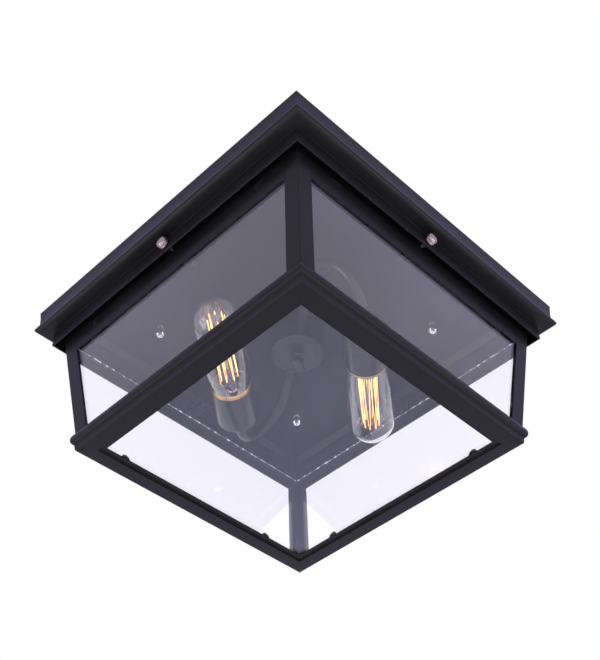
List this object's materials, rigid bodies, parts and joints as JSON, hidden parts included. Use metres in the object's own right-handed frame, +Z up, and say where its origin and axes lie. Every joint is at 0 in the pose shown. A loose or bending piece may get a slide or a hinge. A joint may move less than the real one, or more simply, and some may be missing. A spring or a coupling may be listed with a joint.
{
  "type": "ceiling lantern",
  "caption": "Square flush-mount porch lantern: moulded ceiling pan, tapered glazed cage held by thumb screws, tubular bulbs on bent arms inside.",
  "frame": {"origin": "centre of the pan's mounting face, where it meets the ceiling", "axes": "+Z up into the ceiling, X and Y along the pan's sides, the lantern hangs towards -Z"},
  "size_m": [0.3556, 0.3556, 0.173],
  "materials": {
    "black_coat": "satin powder coat",
    "zinc_plate": "zinc plated",
    "bright_nickel": "bright",
    "green_screw": "green passivated",
    "brass": "satin",
    "insulator": "moulded",
    "pane_glass": "clear",
    "bulb_glass": "clear",
    "filament_wire": "fine wire"
  },
  "bodies": {
    "canopy": {"rim_front": "black_coat", "rim_right": "black_coat", "rim_back": "black_coat", "rim_left": "black_coat", "deck_plate": "black_coat", "ceiling_bracket": "zinc_plate", "bracket_studs": "zinc_plate", "cap_nuts": "bright_nickel", "ground_screw": "green_screw", "screw_tabs": "black_coat", "hub_cup": "black_coat", "hub_pipe": "zinc_plate", "pipe_nuts": "zinc_plate", "finial": "black_coat", "set_screws": "bright_nickel", "arm_right": "black_coat", "arm_left": "black_coat", "arm_nuts": "zinc_plate", "cup_right": "black_coat", "cup_left": "black_coat", "socket_shell_right": "brass", "socket_shell_left": "brass", "socket_core_right": "insulator", "socket_core_left": "insulator", "screw_shell_right": "brass", "screw_shell_left": "brass", "socket_contacts": "brass"},
    "cage": {"post_front_right": "black_coat", "post_back_right": "black_coat", "post_back_left": "black_coat", "post_front_left": "black_coat", "top_rail_front": "black_coat", "top_rail_right": "black_coat", "top_rail_back": "black_coat", "top_rail_left": "black_coat", "bottom_frame_front": "black_coat", "bottom_frame_right": "black_coat", "bottom_frame_back": "black_coat", "bottom_frame_left": "black_coat", "pane_front": "pane_glass", "pane_right": "pane_glass", "pane_back": "pane_glass", "pane_left": "pane_glass", "bottom_pane": "pane_glass", "top_clips": "black_coat", "foot_clips": "black_coat"},
    "thumb_screw_front": {"thumb_screw_front": "bright_nickel"},
    "thumb_screw_right": {"thumb_screw_right": "bright_nickel"},
    "thumb_screw_back": {"thumb_screw_back": "bright_nickel"},
    "thumb_screw_left": {"thumb_screw_left": "bright_nickel"},
    "bulb_right": {"bulb_glass_right": "bulb_glass", "bulb_cap_right": "brass", "bulb_tip_right": "insulator", "stem_right": "bulb_glass", "filament_right": "filament_wire"},
    "bulb_left": {"bulb_glass_left": "bulb_glass", "bulb_cap_left": "brass", "bulb_tip_left": "insulator", "stem_left": "bulb_glass", "filament_left": "filament_wire"}
  },
  "joints": [
    {"name": "cage_drop", "type": "slide", "parent": "canopy", "child": "cage", "axis": [0, 0, -1], "range_m": [0, 0.18]},
    {"name": "thumb_screw_front_travel", "type": "slide", "parent": "canopy", "child": "thumb_screw_front", "axis": [0, -1, 0], "range_m": [0, 0.022]},
    {"name": "thumb_screw_right_travel", "type": "slide", "parent": "canopy", "child": "thumb_screw_right", "axis": [1, 0, 0], "range_m": [0, 0.022]},
    {"name": "thumb_screw_back_travel", "type": "slide", "parent": "canopy", "child": "thumb_screw_back", "axis": [0, 1, 0], "range_m": [0, 0.022]},
    {"name": "thumb_screw_left_travel", "type": "slide", "parent": "canopy", "child": "thumb_screw_left", "axis": [-1, 0, 0], "range_m": [0, 0.022]},
    {"name": "bulb_right_travel", "type": "slide", "parent": "canopy", "child": "bulb_right", "axis": [-0.6293, 0.7771, 0], "range_m": [0, 0.025]},
    {"name": "bulb_left_travel", "type": "slide", "parent": "canopy", "child": "bulb_left", "axis": [0.6293, -0.7771, 0], "range_m": [0, 0.025]}
  ]
}
